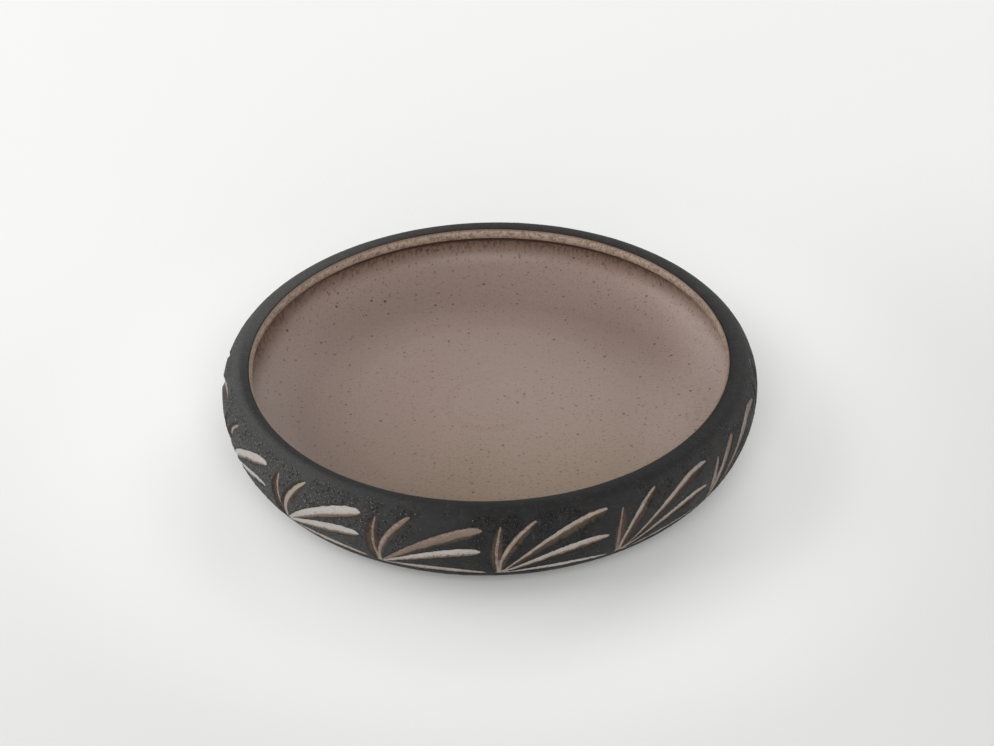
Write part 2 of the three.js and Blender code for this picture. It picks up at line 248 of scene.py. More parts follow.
class BowlForm:
    """The profiles of the bowl, worked out from its sizes."""

    def __init__(self, sizes):
        self.sizes = sizes
        self.widest_height = sizes.height - sizes.shoulder_height
        self.foot_radius = sizes.radius - sizes.foot_inset
        self.floor_edge = sizes.recess_depth + sizes.base_thickness
        self.outside, self.crest_run = self.outside_profile()
        self.inside, self.crease_run, self.hollow_run, self.fillet_run = self.inside_profile()

    def outside_profile(self):
        """From the end of the slip inside the rim, over the crest and round the belly to the foot."""
        sizes = self.sizes
        crest_radius = sizes.radius - sizes.shoulder_width
        roll_middle = (crest_radius, sizes.height - sizes.roll_drop)
        roll = arc(roll_middle, sizes.roll_width, sizes.roll_drop, QUARTER + sizes.slip_end, QUARTER)
        crest_middle = (crest_radius, self.widest_height)
        shoulder = arc(crest_middle, sizes.shoulder_width, sizes.shoulder_height, QUARTER, 0)
        belly_middle = (self.foot_radius - sizes.foot_tuck, self.widest_height)
        belly_width = sizes.radius - belly_middle[0]
        belly_end = -math.acos((sizes.foot_tuck + sizes.layer_gap) / belly_width)
        belly = arc(belly_middle, belly_width, self.widest_height - sizes.foot_height, 0, belly_end)
        profile = Profile(roll, shoulder, belly)
        return profile, profile.run[ARC_STEPS]

    def inside_profile(self):
        """From the bead down the hollow behind it, round the fillet and across the floor to the axis."""
        sizes = self.sizes
        slip_end, slip_out = self.outside.at[0], self.outside.out[0]
        top = slip_end + sizes.layer_gap * np.array((-slip_out[1], slip_out[0]))
        turn = math.atan2(-slip_out[0] * sizes.bead_width, slip_out[1] * sizes.bead_height)
        middle = (top[0] + sizes.bead_width * math.sin(turn), top[1] - sizes.bead_height * math.cos(turn))
        bead = arc(middle, sizes.bead_width, sizes.bead_height, QUARTER + turn, QUARTER + sizes.bead_end)
        crease = bead[0][-1]
        floor_radius = crease[0] + sizes.undercut - sizes.fillet_width
        hollow_height = self.widest_height - sizes.hollow_drop
        hollow_middle = (floor_radius, hollow_height)
        crease_turn = math.acos(1 - sizes.undercut / sizes.fillet_width)
        hollow_rise = (crease[1] - hollow_height) / math.sin(crease_turn)
        hollow = arc(hollow_middle, sizes.fillet_width, hollow_rise, crease_turn, 0, side=-1)
        fillet = arc(hollow_middle, sizes.fillet_width, hollow_height - self.floor_edge, 0, -QUARTER, side=-1)
        profile = Profile(bead, hollow, fillet, self.floor_part(floor_radius))
        return profile, *(profile.run[part * ARC_STEPS] for part in (1, 2, 3))

    def floor_part(self, edge_radius):
        """The floor, domed as a cosine wave."""
        swell = self.sizes.floor_rise / 2
        shares = np.linspace(1, 0, ARC_STEPS + 1)
        height = self.floor_edge + swell * (1 + np.cos(math.pi * shares))
        slope = swell * math.pi * np.sin(math.pi * shares) / edge_radius
        out = np.column_stack((slope, np.ones_like(slope)))
        at = np.column_stack((edge_radius * shares, height))
        return at, out / np.linalg.norm(out, axis=1, keepdims=True)


# Mesh tools


def spun(name, section, columns, cuts):
    """A closed mesh: a section of (radius, height) points turned about the axis, with cuts between columns.

    The section starts and ends on the axis, or closes on itself. Each point keeps its number in the section.
    """
    bm = bmesh.new()
    row = bm.verts.layers.float.new("row")
    corners = []
    for number, (radius, height) in enumerate(section):
        corner = bm.verts.new((0, -radius, height))
        corner[row] = number
        corners.append(corner)
    line = [bm.edges.new(pair) for pair in zip(corners, corners[1:])]
    if section[0][0] > WELD:
        line.append(bm.edges.new((corners[-1], corners[0])))
    bmesh.ops.spin(
        bm, geom=corners + line, cent=(0, 0, 0), axis=(0, 0, 1), angle=math.tau, steps=columns, use_merge=True
    )
    bmesh.ops.remove_doubles(bm, verts=bm.verts, dist=WELD)
    round_about = [edge for edge in bm.edges if edge.verts[0][row] == edge.verts[1][row]]
    bmesh.ops.subdivide_edges(bm, edges=round_about, cuts=cuts)
    bmesh.ops.recalc_face_normals(bm, faces=bm.faces)
    return finished(name, bm)


def finished(name, bm):
    """A smooth mesh object made from a bmesh."""
    for face in bm.faces:
        face.smooth = True
    mesh = bpy.data.meshes.new(name)
    bm.to_mesh(mesh)
    bm.free()
    piece = bpy.data.objects.new(name, mesh)
    bpy.context.scene.collection.objects.link(piece)
    return piece


def points_of(piece):
    """Every point of a piece, one line each."""
    points = np.empty(3 * len(piece.data.vertices))
    piece.data.vertices.foreach_get("co", points)
    return points.reshape(-1, 3)


def rows_of(piece):
    """The number that each point has in its section."""
    rows = np.empty(len(piece.data.vertices))
    piece.data.attributes["row"].data.foreach_get("value", rows)
    return np.rint(rows).astype(int)


def turns_of(points):
    """How far round from the front each point lies."""
    return np.arctan2(points[:, 0], -points[:, 1])


def turned(turn, radius, height):
    """Points at a turn from the front, a radius and a height."""
    return np.column_stack((radius * np.sin(turn), -radius * np.cos(turn), height))


def move_points(piece, turn, radius, height):
    """Puts every point of a piece at a turn, radius and height."""
    piece.data.vertices.foreach_set("co", turned(turn, radius, height).ravel())
    piece.data.update()


def note(piece, name, values):
    """Stores a value for every point, for the materials to read."""
    values = np.ascontiguousarray(values, dtype=np.float32)
    if values.ndim == 1:
        piece.data.attributes.new(name, "FLOAT", "POINT").data.foreach_set("value", values)
    else:
        piece.data.attributes.new(name, "FLOAT_VECTOR", "POINT").data.foreach_set("vector", values.ravel())


# Kinds of unevenness: size of the lumps in metres, and the number that sets one kind apart from another
LUMPS = {
    "grit": (0.0011, 0), "patches": (0.012, 1), "hand": (0.022, 2), "chips": (0.0016, 3), "edge": (0.0024, 4),
    "ring": (0.06, 5), "bead": (0.009, 6), "floor": (0.025, 7), "pool": (0.004, 8), "fine pool": (0.0015, 9),
}
KIND_SHIFT = 31.7


def unevenness(points, kind):
    """Smooth noise between about -1 and 1."""
    size, number = LUMPS[kind]
    shifted = points / size + KIND_SHIFT * number
    return np.array([noise.noise(Vector(point)) for point in shifted])


def smooth_step(values, low, high):
    """Rises from 0 at one value to 1 at another, without a corner."""
    shares = np.clip((values - low) / (high - low), 0, 1)
    return shares * shares * (3 - 2 * shares)


def dressed(piece, material, slot, *nodes):
    """Finishes a piece: its material, the body that it rides on, and the nodes that it stands for."""
    piece.data.materials.append(material)
    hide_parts(*nodes)
    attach(piece, "root")


# Leaf sprays


class PlainLeaf(NamedTuple):
    """A leaf of a plain spray. Width and bow are shares of the widest leaf and the greatest bow."""

    tip: tuple  # mm from the root: round the bowl, and up the slip
    width: float
    bow: float
    lean: float  # how far the deep line lies off the middle of the cut, to its upper left
    start: float  # how wide and deep the cut is at its root, against the other leaves
    widest: float  # where it is widest, from its root to its tip


PLAIN_LEAVES = (
    PlainLeaf((0.5, 30), 0.95, 0.22, 0, 1.2, 0.45),
    PlainLeaf((17.5, 33), 0.86, 0.5, 0.4, 0.9, 0.64),
    PlainLeaf((51.5, 30.8), 1, 0.9, 0.62, 0.5, 0.8),
    PlainLeaf((50.8, 18), 0.9, 0.66, 0.6, 0.5, 0.78),
    PlainLeaf((52.5, 1), 0.83, 0.4, 0.1, 0.4, 0.6),
)


class Hand(NamedTuple):
    """The carver's hand in one spray. Length, width and bow are shares of the plain spray's."""

    turn: float  # degrees off the even turn
    rise: float  # mm that the root lies higher
    length: float
    width: float
    bow: float
    blunt: float  # how blunt the tips are
    fill: tuple  # how full of glaze each leaf is
    pale: tuple  # how pale that glaze is


HANDS = (
    Hand(0, 0, 1, 1, 1, 0.5, (0.13, 0.34, 0.4, 0.8, 0.85), (0.35, 0.4, 0.5, 0.6, 0.8)),
    Hand(0.4, 0, 1, 1.05, 1, 0.4, (0.13, 0.34, 0.46, 0.64, 0.75), (0.15, 0.45, 0.5, 0.6, 0.6)),
    Hand(1.4, 0, 0.94, 1.4, 1, 0.4, (0.3, 0.6, 0.55, 0.45, 0.6), (0.35, 0.2, 0.25, 0.4, 0.5)),
    Hand(0.6, 0.5, 1.02, 1, 1, 0.3, (0.15, 0.34, 0.5, 0.5, 0.75), (0.3, 0.4, 0.5, 0.6, 0.8)),
    Hand(-0.9, 0, 1, 1.1, 0.9, 0.5, (0.2, 0.4, 0.42, 0.6, 0.8), (0.4, 0.3, 0.6, 0.7, 0.8)),
    Hand(0.8, 0.8, 0.97, 1, 1, 0.7, (0.25, 0.5, 0.6, 0.7, 0.85), (0.3, 0.5, 0.8, 0.9, 0.8)),
    Hand(-0.5, 0, 1.03, 0.95, 1.1, 0.4, (0.18, 0.36, 0.4, 0.5, 0.8), (0.2, 0.3, 0.4, 0.6, 0.8)),
    Hand(1.2, 0.3, 0.98, 1.05, 1, 0.2, (0.12, 0.3, 0.36, 0.45, 0.7), (0.4, 0.4, 0.5, 0.5, 0.7)),
    Hand(-1, 0, 1.01, 1.1, 0.9, 0.5, (0.22, 0.45, 0.5, 0.6, 0.85), (0.3, 0.6, 0.7, 0.8, 0.9)),
    Hand(0.4, 0.6, 0.96, 1, 1, 0.8, (0.2, 0.5, 0.66, 0.7, 0.85), (0.4, 0.4, 0.3, 0.9, 0.9)),
    Hand(-0.7, 0, 1.02, 1, 1, 0.6, (0.18, 0.3, 0.4, 0.5, 0.7), (0.5, 0.5, 0.5, 0.5, 0.7)),
    Hand(0.3, 0, 0.97, 1.05, 0.8, 0.8, (0.2, 0.22, 0.8, 0.8, 0.85), (0.5, 0.6, 0.95, 0.95, 0.9)),
    Hand(0.7, 1.4, 0.95, 1.1, 0.55, 0.9, (0.13, 0.36, 0.78, 0.85, 0.85), (0.45, 0.6, 0.9, 0.9, 0.6)),
    Hand(0, 0, 0.98, 1.05, 0.9, 0.9, (0.12, 0.42, 0.7, 0.85, 0.85), (0.35, 0.3, 0.1, 0.68, 0.5)),
)

# Line of a leaf: its steps, and the part of the dimple's radius at which it starts
LINE_STEPS = 80
LINE_START = 5

# How far a tip closes and strays, and how wide a burr is, in metres
TIP_CLOSING = 0.0011
TIP_STRAY = 0.0007
BURR_WIDTH = 0.00045

# How much the bow, the width and the edges stray, how soon the deep line leans, and how round the walls are
BOW_STRAY = 0.12
WIDTH_STRAY = 0.06
EDGE_STRAY = 0.11
LEAN_REACH = 0.25
WALL_CURVE = 1.15


class Leaf:
    """One gouged leaf: its deep line on the flat sheet, and the width and depth of the cut along it."""

    def __init__(self, carving, plain, hand, order):
        self.carving = carving
        self.plain = plain
        self.hand = hand
        self.order = order
        stray = noise.random_vector()
        tip = np.array(plain.tip) * MM * hand.length + TIP_STRAY * np.array(stray.xy)
        start = tip / np.linalg.norm(tip) * carving.root_radius / LINE_START
        left = np.array((-tip[1], tip[0])) / np.linalg.norm(tip)
        bow = carving.leaf_bow * (plain.bow * hand.bow + BOW_STRAY * stray.z)
        bend = (start + tip) / 2 + left * 2 * bow
        self.shares = np.linspace(0, 1, LINE_STEPS + 1)[:, None]
        self.line = (1 - self.shares) ** 2 * start + 2 * self.shares * (1 - self.shares) * bend
        self.line += self.shares**2 * tip
        ahead = 2 * (1 - self.shares) * (bend - start) + 2 * self.shares * (tip - bend)
        self.ahead = ahead / np.linalg.norm(ahead, axis=1, keepdims=True)
        self.length = np.linalg.norm(np.diff(self.line, axis=0), axis=1).sum()
        self.width = carving.leaf_width * plain.width * hand.width * (1 + WIDTH_STRAY * stray.x)

    def swollen(self, share, at_root, at_widest, at_tip):
        """A size that swells from the root to the widest place and closes again towards the tip."""
        widest = self.plain.widest
        rising = at_root + (at_widest - at_root) * np.sin(QUARTER * np.clip(share / widest, 0, 1))
        closing = np.clip((share - widest) / (1 - widest), 0, 1)
        pointed = np.cos(QUARTER * closing)
        round_end = np.sqrt(1 - closing**2)
        falling = at_tip + (at_widest - at_tip) * (pointed + (round_end - pointed) * self.hand.blunt)
        return np.where(share < widest, rising, falling)

    def seen_from(self, places):
        """For places on the sheet: distance along the leaf, off its line to the left, and the way ahead."""
        gaps = places[:, None, :] - self.line[None, :, :]
        nearest = np.argmin((gaps**2).sum(axis=2), axis=1)
        gap = gaps[np.arange(len(places)), nearest]
        ahead = self.ahead[nearest]
        along = self.shares[nearest, 0] * self.length + (gap * ahead).sum(axis=1)
        aside = ahead[:, 0] * gap[:, 1] - ahead[:, 1] * gap[:, 0]
        return along, aside, ahead

    def cut(self, places, wander):
        """The cut at each place: its depth as a share of the full depth, and where on the leaf it lies."""
        carving, start = self.carving, self.plain.start
        along, aside, ahead = self.seen_from(places)
        share = along / self.length
        beyond = np.clip(np.maximum(-along, along - self.length) / TIP_CLOSING, 0, 1)
        closing = np.sqrt(1 - beyond**2)
        half = self.swollen(share, carving.root_width * start, self.width, carving.tip_width) / 2 * closing
        half = np.maximum(half * (1 + EDGE_STRAY * wander), WELD)
        deepest = self.swollen(share, carving.root_depth * start, 1, carving.tip_depth) * closing
        rounding = carving.groove_round
        deep_line = self.plain.lean * half * smooth_step(share, 0, LEAN_REACH)
        off = aside - deep_line
        wall = half - deep_line * np.sign(off)
        off = (np.sqrt(off**2 + rounding**2) - rounding) / (np.sqrt(wall**2 + rounding**2) - rounding)
        depth = deepest * np.clip(1 - off**WALL_CURVE, 0, 1)
        outside = np.abs(aside) - half
        even = np.ones(len(places))
        return {
            "depth": np.where(beyond < 1, depth, 0), "deepest": deepest, "outside": outside, "half": half,
            "lift": np.exp(-((outside / BURR_WIDTH) ** 2)) * (deepest > 0),
            "along": along, "aside": aside, "ahead": ahead, "leaf": even * (self.order + 1),
            "fill": even * self.hand.fill[self.order], "pale": even * self.hand.pale[self.order],
        }


# The dimple and its knot of glaze: how steep the dimple is, how full of glaze and how pale it is, and how far
# out the leaves are fuller by it, in metres
DIMPLE_CURVE = 0.8
ROOT_FILL = 0.72
ROOT_PALENESS = 0.35
ROOT_REACH = 0.0045

# How far apart sprays lie in the noise of their sheets in metres, and leaves and sprays in materials in mm
SHEET_STEP = 0.1
LEAF_STEP = 7
SPRAY_STEP = 50


class Spray:
    """The leaves that fan out from one root, on a sheet: x runs round the bowl from there, y up the slip."""

    def __init__(self, carving, number):
        hand = HANDS[number % len(HANDS)]
        noise.seed_set(number + 1)
        even_turn = carving.first_turn + math.tau * number / carving.count
        self.carving = carving
        self.number = number
        self.turn = even_turn + math.radians(hand.turn)
        self.leaves = [Leaf(carving, plain, hand, order) for order, plain in enumerate(PLAIN_LEAVES)]
        self.rise = hand.rise * MM

    def unevenness(self, places, kind):
        """Noise on the sheet, which differs from spray to spray."""
        return unevenness(np.column_stack((places, np.full(len(places), SHEET_STEP * self.number))), kind)

    def cut(self, places):
        """The union of the cuts at each place, and the leaf that the place is on."""
        merged = self.dimple(places)
        wander = self.unevenness(places, "edge")
        for leaf in self.leaves:
            cut = leaf.cut(places, wander)
            nearer = (merged["depth"] <= 0) & (cut["depth"] <= 0) & (cut["outside"] < merged["outside"])
            chosen = (cut["depth"] > merged["depth"]) | nearer
            lift = np.where(merged["depth"] > 0, 0, merged["lift"])
            lift = np.where(cut["depth"] > 0, 0, np.maximum(lift, cut["lift"]))
            for key in cut:
                mask = chosen[:, None] if cut[key].ndim > 1 else chosen
                merged[key] = np.where(mask, cut[key], merged[key])
            merged["lift"] = np.where(merged["depth"] > 0, 0, lift)
        return merged

    def dimple(self, places):
        """The round dimple that all the leaves run into."""
        radius = self.carving.root_radius
        reach = np.linalg.norm(places, axis=1)
        zero = np.zeros(len(places))
        return {
            "depth": np.clip(1 - reach / radius, 0, 1) ** DIMPLE_CURVE, "deepest": zero + 1,
            "outside": reach - radius, "half": zero + radius, "lift": zero,
            "along": reach, "aside": zero, "ahead": places / np.maximum(reach, WELD)[:, None], "leaf": zero,
            "fill": zero + ROOT_FILL, "pale": zero + ROOT_PALENESS,
        }

    def leaf_place(self, found):
        """Places along and aside of the leaves, for the materials. A third part sets each leaf apart."""
        apart = LEAF_STEP * found["leaf"] + SPRAY_STEP * self.number
        return np.column_stack((found["along"] / MM, found["aside"] / MM, apart))


class CarvedSlip:
    """The carved outside of the bowl: the form with all its sprays."""

    def __init__(self, form, carving):
        self.form = form
        self.carving = carving
        self.full_depth = form.sizes.slip_thickness - carving.slip_under_cuts
        self.root_run = form.outside.end - carving.root_above_edge
        self.sprays = [Spray(carving, number) for number in range(carving.count)]

    def to_sheet(self, spray, turn, run):
        """Places on a spray's sheet from a turn and a run along the profile."""
        off = (turn - spray.turn + math.pi) % math.tau - math.pi
        return np.column_stack((off * self.form.sizes.radius, self.root_run - spray.rise - run))

    def from_sheet(self, spray, places):
        """A turn and a run along the profile from places on a spray's sheet."""
        return spray.turn + places[:, 0] / self.form.sizes.radius, self.root_run - spray.rise - places[:, 1]


# Sheet around a spray: how far it reaches from the root, in metres, and the size of its cells
SHEET_LOW = np.array((-0.007, -0.007))
SHEET_HIGH = np.array((0.061, 0.043))
SHEET_CELL = 0.0005


def math_operator(operation, reflected=False):
    """An operator of Signal, which adds one Math node."""

    def combined(self, other):
        first, second = (other, self) if reflected else (self, other)
        return self.paint.node("ShaderNodeMath", {"operation": operation}, {0: first, 1: second})

    return combined


class Signal:
    """A shader value in a Python expression: it wraps a socket, and arithmetic on it adds Math nodes."""

    def __init__(self, paint, socket):
        self.paint = paint
        self.socket = socket

    __add__ = math_operator("ADD")
    __radd__ = math_operator("ADD", reflected=True)
    __sub__ = math_operator("SUBTRACT")
    __rsub__ = math_operator("SUBTRACT", reflected=True)
    __mul__ = math_operator("MULTIPLY")
    __rmul__ = math_operator("MULTIPLY", reflected=True)
    __truediv__ = math_operator("DIVIDE")
    __rtruediv__ = math_operator("DIVIDE", reflected=True)


class Paint:
    """A material, and the nodes that are added to it."""

    def __init__(self, name, specular=0.5):
        self.material = bpy.data.materials.new(name)
        self.material.use_nodes = True
        self.tree = self.material.node_tree
        self.shader = self.tree.nodes["Principled BSDF"]
        self.shader.inputs["Specular IOR Level"].default_value = specular

    def node(self, kind, settings=None, inputs=None, output=0):
        """Adds a node: its settings first, then the values or links of its sockets. Gives one output."""
        made = self.tree.nodes.new(kind)
        for key, value in (settings or {}).items():
            setattr(made, key, value)
        for key, value in (inputs or {}).items():
            self.feed(made.inputs[key], value)
        return Signal(self, made.outputs[output])

    def feed(self, socket, value):
        """Links a signal to a socket, or sets the socket to a constant."""
        if isinstance(value, Signal):
            self.tree.links.new(value.socket, socket)
        elif socket.type == "RGBA":
            socket.default_value = (*value[:3], 1)
        else:
            socket.default_value = value

    def place(self):
        """Object coordinates in mm."""
        raw = self.node("ShaderNodeTexCoord", output="Object")
        return self.node("ShaderNodeVectorMath", {"operation": "SCALE"}, {0: raw, "Scale": 1 / MM})

    def parts(self, vector, count):
        """The first few of a vector's three parts."""
        return [self.node("ShaderNodeSeparateXYZ", None, {0: vector}, part) for part in range(count)]

    def noted(self, name, output="Fac"):
        """A value that was stored for every point of the piece."""
        return self.node("ShaderNodeAttribute", {"attribute_name": name}, output=output)

    def clouds(self, vector, size, detail=2, roughness=0.5):
        """Noise between 0 and 1 with lumps of a given size."""
        inputs = {"Vector": vector, "Scale": 1 / size, "Detail": detail, "Roughness": roughness}
        return self.node("ShaderNodeTexNoise", None, inputs)

    def stretched(self, vector, factors):
        return self.node("ShaderNodeVectorMath", {"operation": "MULTIPLY"}, {0: vector, 1: factors})

    def streaks(self, vector, factors, detail=2, roughness=0.5, size=1):
        """Noise that is drawn out where a factor is small."""
        return self.clouds(self.stretched(vector, factors), size, detail, roughness)

    def dots(self, vector, spacing, output="Distance", dimensions="3D"):
        """Cells of a given spacing: the distance from their middles in spacings, or their colour."""
        settings = {"voronoi_dimensions": dimensions, "feature": "F1"}
        return self.node("ShaderNodeTexVoronoi", settings, {"Vector": vector, "Scale": 1 / spacing}, output)

    def step(self, value, low, high):
        """Rises smoothly from 0 at one value to 1 at another. It falls where the first is the larger."""
        settings = {"interpolation_type": "SMOOTHSTEP"}
        inputs = {"Value": value, "From Min": low, "From Max": high}
        if low > high:
            inputs.update({"From Min": high, "From Max": low, "To Min": 1, "To Max": 0})
        return self.node("ShaderNodeMapRange", settings, inputs)

    def layered(self, colour, *layers):
        """A colour with others laid over it in turn, each given as its mask and the colour."""
        for mask, over in layers:
            inputs = {0: mask, 6: colour, 7: over}
            colour = self.node("ShaderNodeMix", {"data_type": "RGBA"}, inputs, output=2)
        return colour

    def bump(self, height, depth, strength=1.0):
        """A normal from a height between 0 and 1, for a relief of a given depth in metres."""
        return self.node("ShaderNodeBump", None, {"Height": height, "Distance": depth, "Strength": strength})

    def finish(self, base, roughness, normal=None):
        """Feeds the shader, and gives the material."""
        self.feed(self.shader.inputs["Base Color"], base)
        self.feed(self.shader.inputs["Roughness"], roughness)
        if normal is not None:
            self.feed(self.shader.inputs["Normal"], normal)
        return self.material


def shaded(colour, factor):
    """A colour made darker or lighter."""
    return [factor * part for part in colour]


# Materials. Their sizes and places are in mm, and x and y run to the right and to the back of the bowl.


def clay_paint(colours):
    """Unglazed stoneware with grog and iron specks."""
    paint = Paint("stoneware clay", specular=0.3)
    place = paint.place()
    grain = paint.clouds(place, 0.5, 3, 0.7)
    base = paint.layered(
        shaded(colours.clay, 0.8),
        (paint.clouds(place, 14, 4, 0.6), shaded(colours.clay, 1.15)),
        (paint.step(grain, 0.55, 0.75) * 0.3, colours.glaze_bead),
        (paint.step(paint.dots(place, 2.6), 0.2, 0.1), colours.speck),
    )
    return paint.finish(base, 0.78 + grain * 0.15, paint.bump(grain, 0.0003))


def slip_paint(colours, form):
    """Satin black slip, gritty below the smooth crest, and thin brown glaze on the walls of the cuts. Painted
    sheen and glints lighten its left side, and painted shade darkens its inner edge at the front, its pits and
    the cut walls on the right.
    """
    paint = Paint("black slip", specular=0.18)
    place = paint.place()
    across, forward = paint.parts(place, 2)
    unrolled = paint.noted("unrolled", "Vector")
    run = paint.parts(unrolled, 3)[2]
    crest = form.crest_run / MM
    cut = paint.noted("cut")
    leaf_place = paint.noted("leaf_place", "Vector")
    left = paint.step(across, 10, -125)
    right = paint.step(across, 20, 115)
    belt = paint.step(run, crest + 3, crest + 8)
    inner_edge = paint.step(run, crest + 3, crest - 1)
    patches = paint.clouds(place, 11, 3, 0.6)
    fine = paint.clouds(place, 0.9, 4, 0.65)
    warm = paint.step(paint.clouds(place, 7, 3, 0.55), 0.45, 0.75)
    smears = paint.step(paint.streaks(unrolled, (0.25, 0.25, 0.6), 3, 0.6), 0.5, 0.75)
    scratches = paint.step(paint.streaks(unrolled, (1.4, 1.4, 0.12)), 0.6, 0.72)
    scratches = scratches * paint.step(paint.clouds(place, 18), 0.5, 0.62)
    gritty = paint.step(patches + left * 0.16 + right * 0.04, 0.47, 0.6) * (belt * 0.85 + 0.15)
    grains = paint.step(paint.dots(place, 1.15), 0.44, 0.18) * gritty
    # Bright grains of grit, made brighter on the left with painted glints
    bright = grains * paint.step(fine, 0.4, 0.56) * (left * 1.1 + 0.4)
    holes = paint.step(paint.dots(place, 1.9), 0.36, 0.16) * gritty
    flecks = paint.step(paint.dots(place, 5.5), 0.07, 0.04) * belt
    streaks = paint.streaks(leaf_place, (0.35, 2.2, 1), 4, 0.6)
    chatter = paint.streaks(leaf_place, (1.7, 0.35, 1))
    low = cut * 0.8 + (streaks - 0.5) * 0.9 + (patches - 0.5) * 0.5
    wall = paint.layered(
        colours.wall_lip_and_shade,
        (paint.step(low, 0.1, 0.9), colours.wall),
        (paint.step(streaks, 0.52, 0.75) * 0.7, colours.wall_tan),
        (paint.step(paint.clouds(place, 3.2, 3, 0.6), 0.5, 0.66) * 0.7, colours.wall_red),
        # Painted shade: the cut walls on the right of the bowl, away from the light, are darker
        (right * 0.7, colours.wall_lip_and_shade),
    )
    in_cut = paint.step(cut, 0.02, 0.16)
    base = paint.layered(
        colours.slip,
        (warm * 0.55, colours.slip_thin),
        # Painted sheen: lighter towards the left. A little lighter on the right belt and in the smears.
        (left * 0.15 + right * belt * 0.07 + smears * 0.03, colours.slip_grit_and_sheen),
        # Painted shade along the inner edge at the front, where the slip curves down into the bowl. The edge
        # at the back is a little warmer.
        (inner_edge * paint.step(forward, 40, -30) * 0.8, colours.slip_painted_shade),
        (inner_edge * paint.step(forward, 0, 90) * 0.05, colours.glaze_warm),
        # Pits darkened with painted shade
        (holes * 0.6, colours.slip_painted_shade),
        (bright * 0.5 + flecks * 0.4 + scratches * 0.1, colours.slip_grit_and_sheen),
        (in_cut, wall),
    )
    roughness = 0.54 + fine * 0.16 - in_cut * 0.16 + gritty * 0.06
    relief = fine * (gritty * 0.9 + 0.3) * (1 - in_cut * 0.6) + grains * 0.9 + scratches * 0.3 - holes * 1.1
    return paint.finish(base, roughness, paint.bump(relief + in_cut * chatter * 0.5, 0.0008, 0.9))


def pool_paint(colours):
    """Leaf glaze, pale to mauve brown: thin at its edges, streaked along the leaf, pitted on its low side."""
    paint = Paint("pale leaf glaze", specular=0.5)
    place = paint.place()
    names = ("thickness", "swell", "pale", "low_side")
    thickness, swell, pale, low_side = (paint.noted(name) for name in names)
    leaf_place = paint.noted("leaf_place", "Vector")
    streaks = paint.streaks(leaf_place, (0.3, 1.4, 1), 4, 0.6)
    blotches = paint.streaks(leaf_place, (0.8, 1.6, 1), 3, 0.6)
    chatter = paint.streaks(leaf_place, (1.7, 0.35, 1))
    cloud = paint.clouds(place, 3.5, 3, 0.55) - 0.5
    fine = paint.clouds(place, 0.6, 3, 0.6)
    full = pale + cloud * 0.4 + (blotches - 0.5) * 0.7 + (thickness - 0.8) * 0.3
    thin = swell + (streaks - 0.5) * 0.5 + cloud * 0.2
    pitted = paint.step(paint.dots(place, 1.5), 0.38, 0.2) * paint.step(low_side + cloud, -0.2, 0.4)
    pitted = pitted * paint.step(paint.clouds(place, 6), 0.42, 0.54)
    base = paint.layered(
        colours.pool,
        (paint.step(full, 0.45, 1), colours.pool_thick),
        (paint.step(full, 0.4, 0.1), colours.pool_brown),
        (paint.step(streaks, 0.48, 0.74) * (0.62 - pale * 0.35), colours.pool_thin),
        (paint.step(thin, 0.5, 0.2), colours.pool_thin),
        (paint.step(thin, 0.25, 0), colours.wall),
        (pitted * 0.85, colours.pit),
    )
    relief = fine * 0.5 + streaks * 0.4 + chatter * 0.5 - pitted * 0.9
    return paint.finish(base, 0.32 + fine * 0.14, paint.bump(relief, 0.0004, 0.8))


